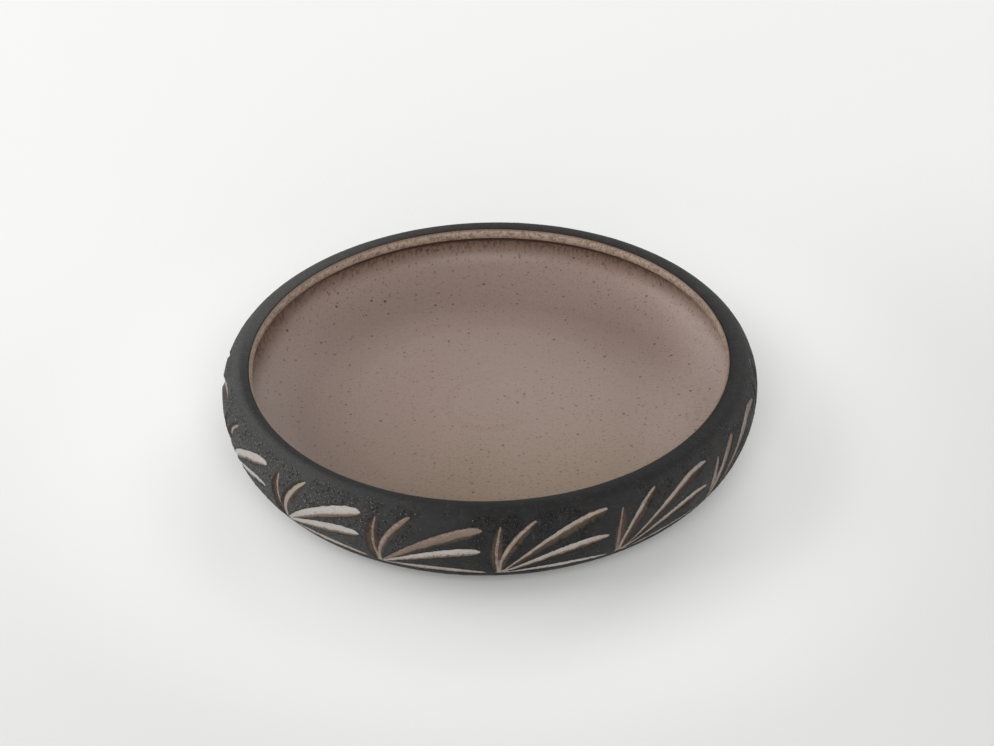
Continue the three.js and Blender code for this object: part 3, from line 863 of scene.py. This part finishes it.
def glaze_paint(colours, form):
    """Satin speckled glaze: mauve to yellow on the floor, with a thick bead, a dark crease line and a brown
    band below it. Painted shade darkens its front left, and painted light and sheen lighten its right and back
    walls.
    """
    paint = Paint("speckled inner glaze", specular=0.4)
    place = paint.place()
    across, forward = paint.parts(place, 2)
    unrolled = paint.noted("unrolled", "Vector")
    run = paint.noted("run")
    crease = form.crease_run / MM
    cloud = paint.clouds(place, 60, 3, 0.5) - 0.5
    mottle = paint.clouds(place, 2.2, 4, 0.6)
    waver = mottle - 0.5
    fine = paint.clouds(place, 0.7, 3, 0.6)
    warm = paint.step(forward - across * 0.4 + cloud * 90 + waver * 20, 20, -95)
    # Painted shade on the front left of the inside, which faces away from the light
    shade_front_left = paint.step(across * 0.6 + forward * 0.8 + cloud * 30, -10, -120)
    # Painted light on the right wall, which faces the light, and painted sheen on the back wall
    lit_right_wall = paint.step(across + cloud * 30, 65, 115)
    sheen_back_wall = paint.step(forward - across * 0.35 + cloud * 40, 15, 110)
    sheen_back_wall = sheen_back_wall * paint.step(run, crease + 10, crease + 26)
    freckles = paint.step(paint.streaks(unrolled, (0.7, 1.3, 1), size=1.7), 0.56, 0.7)
    streaks = paint.streaks(place, (1, 1, 0.22), 3, 0.65, size=1.5)
    # A brown band below the bead, wider and stronger at the left, with a dark line near the bead
    wider = paint.step(across + forward * 0.4, -45, -115)
    band = paint.step(run + (streaks - 0.5) * 12 - wider * 8, crease + 18, crease + 5)
    drips = paint.step(paint.dots(paint.stretched(place, (1, 1, 0.3)), 1.9), 0.34, 0.16)
    drips = drips * paint.step(run + cloud * 16, crease + 24, crease + 12)
    crease_line = paint.step(run + waver * 2, crease + 6, crease + 3.5)
    bead = paint.layered(
        colours.glaze_bead,
        (paint.step(fine, 0.48, 0.62) * 0.5, colours.glaze_pale_and_sheen),
        (paint.step(mottle + (fine - 0.5) * 0.8, 0.44, 0.62) * 0.8, colours.glaze_band_and_shade),
        (paint.step(run + waver * 1.2, 1.6, 0.2) * 0.8, colours.glaze_band_and_shade),
    )
    base = paint.layered(
        colours.glaze,
        (warm, colours.glaze_warm),
        (shade_front_left * 0.55, colours.glaze_band_and_shade),
        (lit_right_wall * 0.75 + sheen_back_wall * 0.38, colours.glaze_pale_and_sheen),
        (paint.step(mottle, 0.35, 0.75) * 0.25, shaded(colours.glaze_warm, 1.25)),
        (paint.step(fine, 0.6, 0.35) * 0.18, colours.glaze_band_and_shade),
        (freckles * (warm * 0.5 + 0.25), colours.glaze_band_and_shade),
        (band * (wider * 0.15 + 0.68), colours.glaze_band_and_shade),
        (band * paint.step(streaks, 0.47, 0.6) * 0.8, colours.glaze_crease),
        (drips * paint.step(mottle, 0.45, 0.6) * 0.8, colours.glaze_crease),
        (crease_line, colours.glaze_crease),
        (paint.step(run + waver * 0.6, crease + 0.1, crease - 1.2), bead),
    )
    specks = 0
    for spacing, size, rarity, strength in SPECK_KINDS:
        distance = paint.dots(unrolled, spacing, dimensions="2D")
        lots = paint.dots(unrolled, spacing, "Color", "2D")
        lot, size_lot, strength_lot = (
            paint.node("ShaderNodeSeparateColor", None, {0: lots}, part) for part in range(3)
        )
        reach = (size_lot * 0.6 + 0.35) * (size / spacing)
        dot = paint.step((distance + (fine - 0.5) * (0.6 * size / spacing)) / reach, 1.2, 0.7)
        dot = dot * paint.step(lot, rarity, rarity + 0.01) * (strength_lot * 0.6 + 0.4) * strength
        base = paint.layered(base, (dot, colours.speck))
        specks = specks + dot
    roughness = 0.4 + mottle * 0.1 + band * 0.08 - specks * 0.1
    relief = fine * 0.5 + mottle * 0.3 - specks * 0.4
    return paint.finish(base, roughness, paint.bump(relief, 0.0003, 0.5))


# Iron specks in the inner glaze, in mm: spacing, size, the share of places left out, and strength
SPECK_KINDS = (
    (8.5, 0.85, 0.55, 0.95),
    (4.6, 0.65, 0.6, 0.7),
    (2.2, 0.5, 0.5, 0.35),
)


def floor_paint(settings):
    """Pale floor with painted light and shade: lighter round the bowl, which lifts the bowl's shadow, and
    darker towards the front and the right.
    """
    paint = Paint("stage floor", specular=0)
    place = paint.place()
    across, forward = paint.parts(place, 2)
    around = paint.node("ShaderNodeVectorMath", {"operation": "LENGTH"}, {0: place}, "Value")
    shade = shaded(settings.floor, 0.76)
    base = paint.layered(
        settings.floor,
        # Painted shade: darker towards the front and the right
        (paint.step(forward, 200, -500), shade),
        (paint.step(across, 110, 270) * paint.step(forward, 300, 50) * 0.35, shade),
        # Painted light round the bowl, lifting its shadow
        (paint.step(around, 260, 130) * 0.8, shaded(settings.floor, 1.12)),
    )
    return paint.finish(base, 0.9)


# Columns of the fine meshes, and the cuts between two columns
CLAY_COLUMNS, CLAY_CUTS = 60, 3
SLIP_COLUMNS, SLIP_CUTS = 144, 7
GLAZE_COLUMNS, GLAZE_CUTS = 80, 3

# Rows of the clay: in the recess, under the slip and under the glaze
CLAY_ROWS = (40, 40, 60)

# Rows of the slip: over the rim, across the leaves, below them, and back up its inner side
SLIP_ROWS = (9, 66, 5, 6)

# Rows of the glaze: back under it, then over the bead, the hollow, the fillet and the floor
GLAZE_ROWS = (24, 20, 12, 22, 46)

# Turning marks on the underside, in metres: their two spacings and their height, the height that the
# underside lies below, and where they fade in from the middle and out before the edge
MARK_SPACINGS = (0.0017, 0.0031)
MARK_HEIGHT = 0.00007
UNDERSIDE_BELOW = 0.0095
MARK_FADE_IN = (0.003, 0.012)
MARK_FADE_OUT = 0.008


class BOWL_OT_clay_body(bpy.types.Operator):
    """Model the thrown clay body with its turned foot"""

    bl_idname = "bowl.clay_body"
    bl_label = "Clay Body"

    def execute(self, context):
        sizes = context.scene.bowl_sizes
        form = BowlForm(sizes)
        slip_cover = sizes.slip_thickness + sizes.layer_gap
        glaze_cover = sizes.glaze_thickness + sizes.layer_gap
        foot_inside = form.foot_radius - sizes.foot_width
        recess_edge = foot_inside - sizes.recess_slope
        recess_rows, outer_rows, inner_rows = CLAY_ROWS
        share = np.linspace(0, 1, recess_rows)
        recess_height = sizes.recess_depth + sizes.floor_rise * (1 - share**2)
        recess = np.column_stack((recess_edge * share, recess_height))
        foot = [
            (foot_inside, 0),
            (form.foot_radius - sizes.foot_chamfer, 0),
            (form.foot_radius, sizes.foot_chamfer),
            (form.foot_radius, sizes.foot_height + slip_cover),
        ]
        outer_run = np.linspace(form.outside.end, 0, outer_rows)
        inner_run = np.linspace(0, form.inside.end, inner_rows)
        under_slip = np.column_stack(form.outside.place(outer_run, -slip_cover))
        under_glaze = np.column_stack(form.inside.place(inner_run, -glaze_cover))
        under_glaze[-1, 0] = 0
        section = [tuple(point) for point in np.vstack((recess, foot, under_slip, under_glaze))]
        piece = spun("thrown_clay_body", section, CLAY_COLUMNS, CLAY_CUTS)
        self.turn_marks(piece, recess_edge)
        dressed(piece, clay_paint(context.scene.bowl_colours), "stoneware_clay", "clay_body")
        return {"FINISHED"}

    def turn_marks(self, piece, recess_edge):
        """Shallow rings that the turning tool left on the underside."""
        points = points_of(piece)
        radius = np.hypot(points[:, 0], points[:, 1])
        below = (points[:, 2] < UNDERSIDE_BELOW) & (radius < recess_edge)
        close, wide = MARK_SPACINGS
        rings = np.sin(radius / close) + 0.5 * np.sin(radius / wide)
        fading = smooth_step(radius, *MARK_FADE_IN)
        fading = fading * smooth_step(radius, recess_edge, recess_edge - MARK_FADE_OUT)
        points[:, 2] += np.where(below, MARK_HEIGHT * rings * fading, 0)
        move_points(piece, turns_of(points), radius, points[:, 2])


# How far the close rows of the slip go on above the highest tip and below the roots, in metres
TIP_MARGIN = 0.0022
ROOT_MARGIN = 0.0056

# How near an edge of a cut the points are drawn towards it, in metres
EDGE_REACH = 0.0006

# Height of the slip's roughness, in metres: the hand's unevenness, the grit everywhere and more in patches.
# Then the noise at which a patch starts and is full, the share of all that in a cut, and the least share of a
# burr's height that is left where it is chipped.
HAND_HEIGHT = 0.00006
GRIT_HEIGHT = 0.00002
PATCH_HEIGHT = 0.00014
PATCH_RANGE = (0, 0.45)
CUT_ROUGHNESS = 0.3
LEAST_BURR = 0.35


class BOWL_OT_slip_coat(bpy.types.Operator):
    """Model the black slip with the leaf cuts in it"""

    bl_idname = "bowl.slip_coat"
    bl_label = "Black Slip Coat"

    def execute(self, context):
        form = BowlForm(context.scene.bowl_sizes)
        carved = CarvedSlip(form, context.scene.leaf_carving)
        run, lift = self.rows(form, carved)
        section = list(zip(*form.outside.place(run, lift)))
        piece = spun("carved_slip_coat", section, SLIP_COLUMNS, SLIP_CUTS)
        self.carve(piece, form, carved, run, lift)
        dressed(piece, slip_paint(context.scene.bowl_colours, form), "black_slip", "black_slip_coat")
        return {"FINISHED"}

    def rows(self, form, carved):
        """Distance along the profile and lift of each row: close together where the leaves are."""
        over_rim, across_leaves, below, inner_side = SLIP_ROWS
        top = form.crest_run + carved.carving.tip_below_crest - TIP_MARGIN
        low = carved.root_run + ROOT_MARGIN
        outer = np.concatenate((
            np.linspace(0, top, over_rim, endpoint=False),
            np.linspace(top, low, across_leaves, endpoint=False),
            np.linspace(low, form.outside.end, below),
        ))
        inner = np.linspace(form.outside.end, 0, inner_side)
        lift = np.concatenate((np.zeros(len(outer)), np.full(len(inner), -form.sizes.slip_thickness)))
        return np.concatenate((outer, inner)), lift

    def carve(self, piece, form, carved, run, lift):
        """Sinks the cuts, draws the points near an edge onto it, and roughens the slip."""
        points = points_of(piece)
        rows = rows_of(piece)
        turn, run, lift = turns_of(points), run[rows], lift[rows]
        outer = lift == 0
        cut = np.zeros(len(points))
        ridge = np.zeros(len(points))
        leaf_place = np.zeros((len(points), 3))
        for spray in carved.sprays:
            places = carved.to_sheet(spray, turn, run)
            near = outer & np.all((places > SHEET_LOW) & (places < SHEET_HIGH), axis=1)
            moved, found = self.drawn_in(spray, places[near])
            deeper = found["depth"] > cut[near]
            closer = deeper | (found["depth"] <= 0) & (found["outside"] < EDGE_REACH) & (cut[near] <= 0)
            target = np.flatnonzero(near)[closer]
            turn[target], run[target] = (values[closer] for values in carved.from_sheet(spray, moved))
            target = np.flatnonzero(near)[deeper]
            cut[target] = found["depth"][deeper]
            leaf_place[target] = spray.leaf_place(found)[deeper]
            ridge[near] = np.maximum(ridge[near], found["lift"])
        rough = self.roughness(points, outer, cut, carved.carving.burr * np.where(cut > 0, 0, ridge))
        radius, height = form.outside.place(run, lift - cut * carved.full_depth + rough)
        move_points(piece, turn, radius, height)
        note(piece, "cut", cut * carved.full_depth / MM)
        note(piece, "unrolled", turned(turn, form.sizes.radius, run) / MM)
        note(piece, "leaf_place", leaf_place)

    def drawn_in(self, spray, places):
        """Draws places towards the nearest edge of a cut, which keeps it crisp, and reads the cut there."""
        found = spray.cut(places)
        gap = found["outside"]
        shift = np.where(np.abs(gap) < EDGE_REACH, gap * (1 - np.abs(gap) / EDGE_REACH), 0)
        side = np.where(found["aside"] < 0, -1, 1)
        left = np.column_stack((-found["ahead"][:, 1], found["ahead"][:, 0])) * side[:, None]
        away = np.where((found["leaf"] == 0)[:, None], found["ahead"], left)
        moved = places - away * (shift * (found["deepest"] > 0))[:, None]
        return moved, spray.cut(moved)

    def roughness(self, points, outer, cut, burrs):
        """Height of the hand's unevenness, the grit and the burrs beside the cuts."""
        patch = smooth_step(unevenness(points, "patches"), *PATCH_RANGE)
        grit = (GRIT_HEIGHT + PATCH_HEIGHT * patch) * unevenness(points, "grit")
        skin = HAND_HEIGHT * unevenness(points, "hand") + grit
        chips = LEAST_BURR + (1 - LEAST_BURR) * np.clip(unevenness(points, "chips") + 0.5, 0, 1)
        return np.where(outer, np.where(cut > 0, CUT_ROUGHNESS, 1) * skin + burrs * chips, 0)


# Throwing rings on the floor, in metres: radius, width and rise
THROWING_RINGS = (
    (0.0195, 0.0016, 0.00022),
    (0.0235, 0.0022, -0.00018),
    (0.012, 0.002, 0.00008),
    (0.036, 0.003, 0.00007),
    (0.052, 0.004, -0.00008),
    (0.071, 0.003, 0.0001),
    (0.08, 0.003, -0.0001),
    (0.09, 0.004, 0.00008),
)

# How far the rings sway, the height of the waves on the bead and of those all over, and the radius of the even
# middle, in metres. Then the share of the bead's length at which its own waves are full.
RING_SWAY = 0.0009
BEAD_WAVES = 0.00012
FLOOR_WAVES = 0.00008
EVEN_MIDDLE = 0.004
WAVY_BEAD = 0.5


class BOWL_OT_inner_glaze(bpy.types.Operator):
    """Model the speckled glaze that lines the inside"""

    bl_idname = "bowl.inner_glaze"
    bl_label = "Inner Glaze"

    def execute(self, context):
        form = BowlForm(context.scene.bowl_sizes)
        run, lift = self.rows(form)
        radius, height = form.inside.place(run, lift)
        radius[[0, -1]] = 0
        piece = spun("speckled_glaze_lining", list(zip(radius, height)), GLAZE_COLUMNS, GLAZE_CUTS)
        self.throw(piece, form, run, lift)
        paint = glaze_paint(context.scene.bowl_colours, form)
        dressed(piece, paint, "speckled_glaze", "speckled_inner_glaze")
        return {"FINISHED"}

    def rows(self, form):
        """Distance from the bead and lift of each row, from the axis out under the glaze and back over it."""
        back, *counts, floor_rows = GLAZE_ROWS
        under = np.linspace(form.inside.end, 0, back)
        ends = (0, form.crease_run, form.hollow_run, form.fillet_run)
        stretches = zip(ends, ends[1:], counts)
        over = [np.linspace(start, end, count, endpoint=False) for start, end, count in stretches]
        over = np.concatenate((*over, np.linspace(form.fillet_run, form.inside.end, floor_rows)))
        lift = np.concatenate((np.full(len(under), -form.sizes.glaze_thickness), np.zeros(len(over))))
        return np.concatenate((under, over)), lift

    def throw(self, piece, form, run, lift):
        """Adds the throwing rings, the wavy bead and the soft unevenness of a hand-thrown floor."""
        points = points_of(piece)
        rows = rows_of(piece)
        turn, run, lift = turns_of(points), run[rows], lift[rows]
        from_axis = form.inside.end - run
        note(piece, "run", run / MM)
        note(piece, "unrolled", turned(turn, from_axis, 0 * turn) / MM)
        sway = RING_SWAY * unevenness(points * (1, 1, 0), "ring")
        ring = np.zeros(len(points))
        for radius, width, rise in THROWING_RINGS:
            ring += rise * np.exp(-(((from_axis + sway - radius) / width) ** 2))
        on_bead = smooth_step(run, form.crease_run, form.crease_run * WAVY_BEAD)
        waves = BEAD_WAVES * unevenness(points, "bead") * on_bead + FLOOR_WAVES * unevenness(points, "floor")
        off_middle = smooth_step(from_axis, 0, EVEN_MIDDLE)
        radius, height = form.inside.place(run, np.where(lift == 0, (ring + waves) * off_middle, lift))
        radius = np.where(from_axis < WELD, 0, radius)
        move_points(piece, turn, radius, height)


# Leaf pools, in metres: how far the sheet goes on past the waterline, how far the climb up the walls reaches,
# how far the lower side lies in the slip, the least thickness, and the least depth of the surface
POOL_MARGIN = 0.00025
POOL_CREEP_REACH = 0.00025
POOL_BEDDING = 0.00008
POOL_LEAST = 0.0001
POOL_HIGHEST = 0.00012

# The fewest points that a piece of a pool keeps
POOL_LEAST_POINTS = 60

# How strong the coarse and the fine ripples of the fill are. Then by how much the fill falls towards a tip in
# an empty leaf, and where that starts and ends, as shares of a length in metres along the leaf.
RIPPLES = {"pool": 0.1, "fine pool": 0.07}
TIP_FADING = 0.4
FADING_LENGTH = 0.05
FADING_RANGE = (0.55, 1.1)


class BOWL_OT_leaf_glazes(bpy.types.Operator):
    """Model the pale glaze pooled in the cuts of each spray"""

    bl_idname = "bowl.leaf_glazes"
    bl_label = "Leaf Glazes"

    def execute(self, context):
        form = BowlForm(context.scene.bowl_sizes)
        carved = CarvedSlip(form, context.scene.leaf_carving)
        paint = pool_paint(context.scene.bowl_colours)
        for spray in carved.sprays:
            piece = self.pool(form, carved, spray)
            dressed(piece, paint, "pale_glaze", f"leaf_glaze_{spray.number + 1:02d}")
        return {"FINISHED"}

    def pool(self, form, carved, spray):
        """One spray's glaze: a sheet cut to the pool's outline, given its thickness and laid in the cuts."""
        bm = bmesh.new()
        cells = np.rint((SHEET_HIGH - SHEET_LOW) / SHEET_CELL).astype(int)
        bmesh.ops.create_grid(bm, x_segments=int(cells[0]), y_segments=int(cells[1]), size=0.5)
        under = bm.verts.layers.float.new("under")
        flat = np.array([vert.co.xy for vert in bm.verts])
        places = SHEET_LOW + (flat + 0.5) * (SHEET_HIGH - SHEET_LOW)
        depth, level, found = self.levels(carved, spray, places)
        for vert, place in zip(bm.verts, places):
            vert.co = (*place, 0)
        dry = [vert for vert, out in zip(bm.verts, (depth - level < -POOL_MARGIN) | (depth <= 0)) if out]
        bmesh.ops.delete(bm, geom=dry, context="VERTS")
        self.trim(bm)
        grown = bmesh.ops.extrude_face_region(bm, geom=list(bm.faces), use_keep_orig=True)
        for vert in grown["geom"]:
            if isinstance(vert, bmesh.types.BMVert):
                vert[under] = 1
        bmesh.ops.recalc_face_normals(bm, faces=bm.faces)
        piece = finished(f"leaf_pool_{spray.number + 1:02d}", bm)
        self.lay(piece, form, carved, spray)
        return piece

    def levels(self, carved, spray, places):
        """Depth of the cut and of the pool's surface below the slip, in metres."""
        found = spray.cut(places)
        depth = found["depth"] * carved.full_depth
        ripple = sum(spray.unevenness(places, kind) * height for kind, height in RIPPLES.items())
        to_tip = smooth_step(found["along"] / FADING_LENGTH, *FADING_RANGE)
        fading = 1 - TIP_FADING * (1 - found["fill"]) * to_tip
        knot = np.exp(-((np.linalg.norm(places, axis=1) / ROOT_REACH) ** 2))
        fill = found["fill"] + ripple + (ROOT_FILL - found["fill"]) * knot
        level = carved.full_depth * found["deepest"] * (1 - fill * fading)
        level -= carved.carving.creep * np.exp(-np.abs(depth - level) / POOL_CREEP_REACH)
        return depth, np.maximum(level, POOL_HIGHEST), found

    def trim(self, bm):
        """Removes loose bits, and points where only corners touch."""
        pinched = True
        while pinched:
            pinched = [vert for vert in bm.verts if sum(edge.is_boundary for edge in vert.link_edges) > 2]
            pinched += [vert for vert in bm.verts if not vert.link_faces]
            bmesh.ops.delete(bm, geom=pinched, context="VERTS")
        bm.verts.ensure_lookup_table()
        unseen = set(bm.verts)
        islands = []
        while unseen:
            island = [unseen.pop()]
            for vert in island:
                for edge in vert.link_edges:
                    other = edge.other_vert(vert)
                    if other in unseen:
                        unseen.remove(other)
                        island.append(other)
            islands.append(island)
        for island in islands:
            if len(island) < POOL_LEAST_POINTS:
                bmesh.ops.delete(bm, geom=island, context="VERTS")

    def lay(self, piece, form, carved, spray):
        """Lays the flat pool in the cuts: its upper side at its level, its lower side just in the slip."""
        points = points_of(piece)
        under = np.empty(len(points))
        piece.data.attributes["under"].data.foreach_get("value", under)
        depth, level, found = self.levels(carved, spray, points[:, :2])
        thickness = depth - level
        bottom = np.maximum(depth + POOL_BEDDING, level + POOL_LEAST)
        turn, run = carved.from_sheet(spray, points[:, :2])
        radius, height = form.outside.place(run, -np.where(under > 0.5, bottom, level))
        move_points(piece, turn, radius, height)
        note(piece, "thickness", thickness / MM)
        note(piece, "swell", thickness / np.maximum(carved.full_depth * found["deepest"] - level, POOL_LEAST))
        note(piece, "low_side", -found["aside"] / found["half"])
        note(piece, "pale", found["pale"])
        note(piece, "leaf_place", spray.leaf_place(found))


# Half the floor's side in metres, and its squares along a side
FLOOR_REACH = 4
FLOOR_SQUARES = 8

SKY_COLOUR = (0.985, 0.99, 1)

# Turn of each lamp from the front, in degrees
LAMP_TURNS = {"front_lamp": 0, "left_lamp": -90, "back_lamp": 157, "far_lamp": -135, "right_lamp": 90}

MOUTH_MIDDLE = Vector((0, 0, BOWL_HEIGHT))


class BOWL_OT_stage(bpy.types.Operator):
    """Set the floor, the soft light and the camera"""

    bl_idname = "bowl.stage"
    bl_label = "Stage"

    def execute(self, context):
        scene = context.scene
        settings = scene.bowl_stage
        self.floor(settings)
        self.light(scene, settings)
        self.camera(scene, settings)
        scene.view_settings.view_transform = "Standard"
        return {"FINISHED"}

    def floor(self, settings):
        bm = bmesh.new()
        bmesh.ops.create_grid(bm, x_segments=FLOOR_SQUARES, y_segments=FLOOR_SQUARES, size=FLOOR_REACH)
        floor = finished("stage_floor", bm)
        floor.data.materials.append(floor_paint(settings))

    def light(self, scene, settings):
        scene.world = bpy.data.worlds.new("pale studio")
        scene.world.use_nodes = True
        sky = scene.world.node_tree.nodes["Background"]
        sky.inputs["Color"].default_value = (*SKY_COLOUR, 1)
        sky.inputs["Strength"].default_value = settings.sky
        across = settings.lamp_distance * math.cos(settings.lamp_height)
        up = settings.lamp_distance * math.sin(settings.lamp_height)
        for name, turn in LAMP_TURNS.items():
            turn = math.radians(turn)
            place = Vector((across * math.sin(turn), -across * math.cos(turn), up))
            lamp = bpy.data.lights.new(name, "AREA")
            lamp.shape = "SQUARE"
            lamp.size = settings.lamp_size
            lamp.energy = getattr(settings, name)
            holder = bpy.data.objects.new(name, lamp)
            holder.location = place
            holder.rotation_euler = (-place).to_track_quat("-Z", "Y").to_euler()
            scene.collection.objects.link(holder)

    def camera(self, scene, settings):
        elevation = settings.elevation
        back = Vector((0, -math.cos(elevation), math.sin(elevation)))
        camera = bpy.data.cameras.new("camera")
        camera.sensor_width = SENSOR_WIDTH
        camera.lens = SENSOR_WIDTH * PIXELS_PER_METRE * settings.distance / FRAME_WIDTH
        camera.shift_x, camera.shift_y = (pixels / FRAME_WIDTH for pixels in FRAME_SHIFT)
        camera.clip_start, camera.clip_end = CLIP_NEAR_FAR
        holder = bpy.data.objects.new("camera", camera)
        holder.location = MOUTH_MIDDLE + back * settings.distance
        holder.rotation_mode = "QUATERNION"
        lean = Quaternion((0, 0, 1), -settings.roll)
        holder.rotation_quaternion = (-back).to_track_quat("-Z", "Y") @ lean
        scene.collection.objects.link(holder)
        scene.camera = holder


class BOWL_PT_sidebar(bpy.types.Panel):
    """Lists the pieces of the bowl"""

    bl_idname = "BOWL_PT_sidebar"
    bl_label = "Carved Bowl"
    bl_space_type = "VIEW_3D"
    bl_region_type = "UI"
    bl_category = "Bowl"

    def draw(self, context):
        for step in STEPS:
            self.layout.operator(step.bl_idname)
        for group, kind in GROUPS.items():
            box = self.layout.box()
            for name in kind.__annotations__:
                box.prop(getattr(context.scene, group), name)


STEPS = (BOWL_OT_clay_body, BOWL_OT_slip_coat, BOWL_OT_inner_glaze, BOWL_OT_leaf_glazes, BOWL_OT_stage)
GROUPS = {
    "bowl_sizes": BowlSizes,
    "leaf_carving": LeafCarving,
    "bowl_colours": BowlColours,
    "bowl_stage": StageSettings,
}


def register():
    for kind in (*GROUPS.values(), *STEPS, BOWL_PT_sidebar):
        bpy.utils.register_class(kind)
    for group, kind in GROUPS.items():
        setattr(bpy.types.Scene, group, PointerProperty(type=kind))


def unregister():
    for group in GROUPS:
        delattr(bpy.types.Scene, group)
    for kind in reversed((*GROUPS.values(), *STEPS, BOWL_PT_sidebar)):
        bpy.utils.unregister_class(kind)


def main():
    register()
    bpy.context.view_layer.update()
    bpy.ops.bowl.clay_body()
    bpy.ops.bowl.slip_coat()
    bpy.ops.bowl.inner_glaze()
    bpy.ops.bowl.leaf_glazes()
    bpy.ops.bowl.stage()


if __name__ == "__main__":
    main()
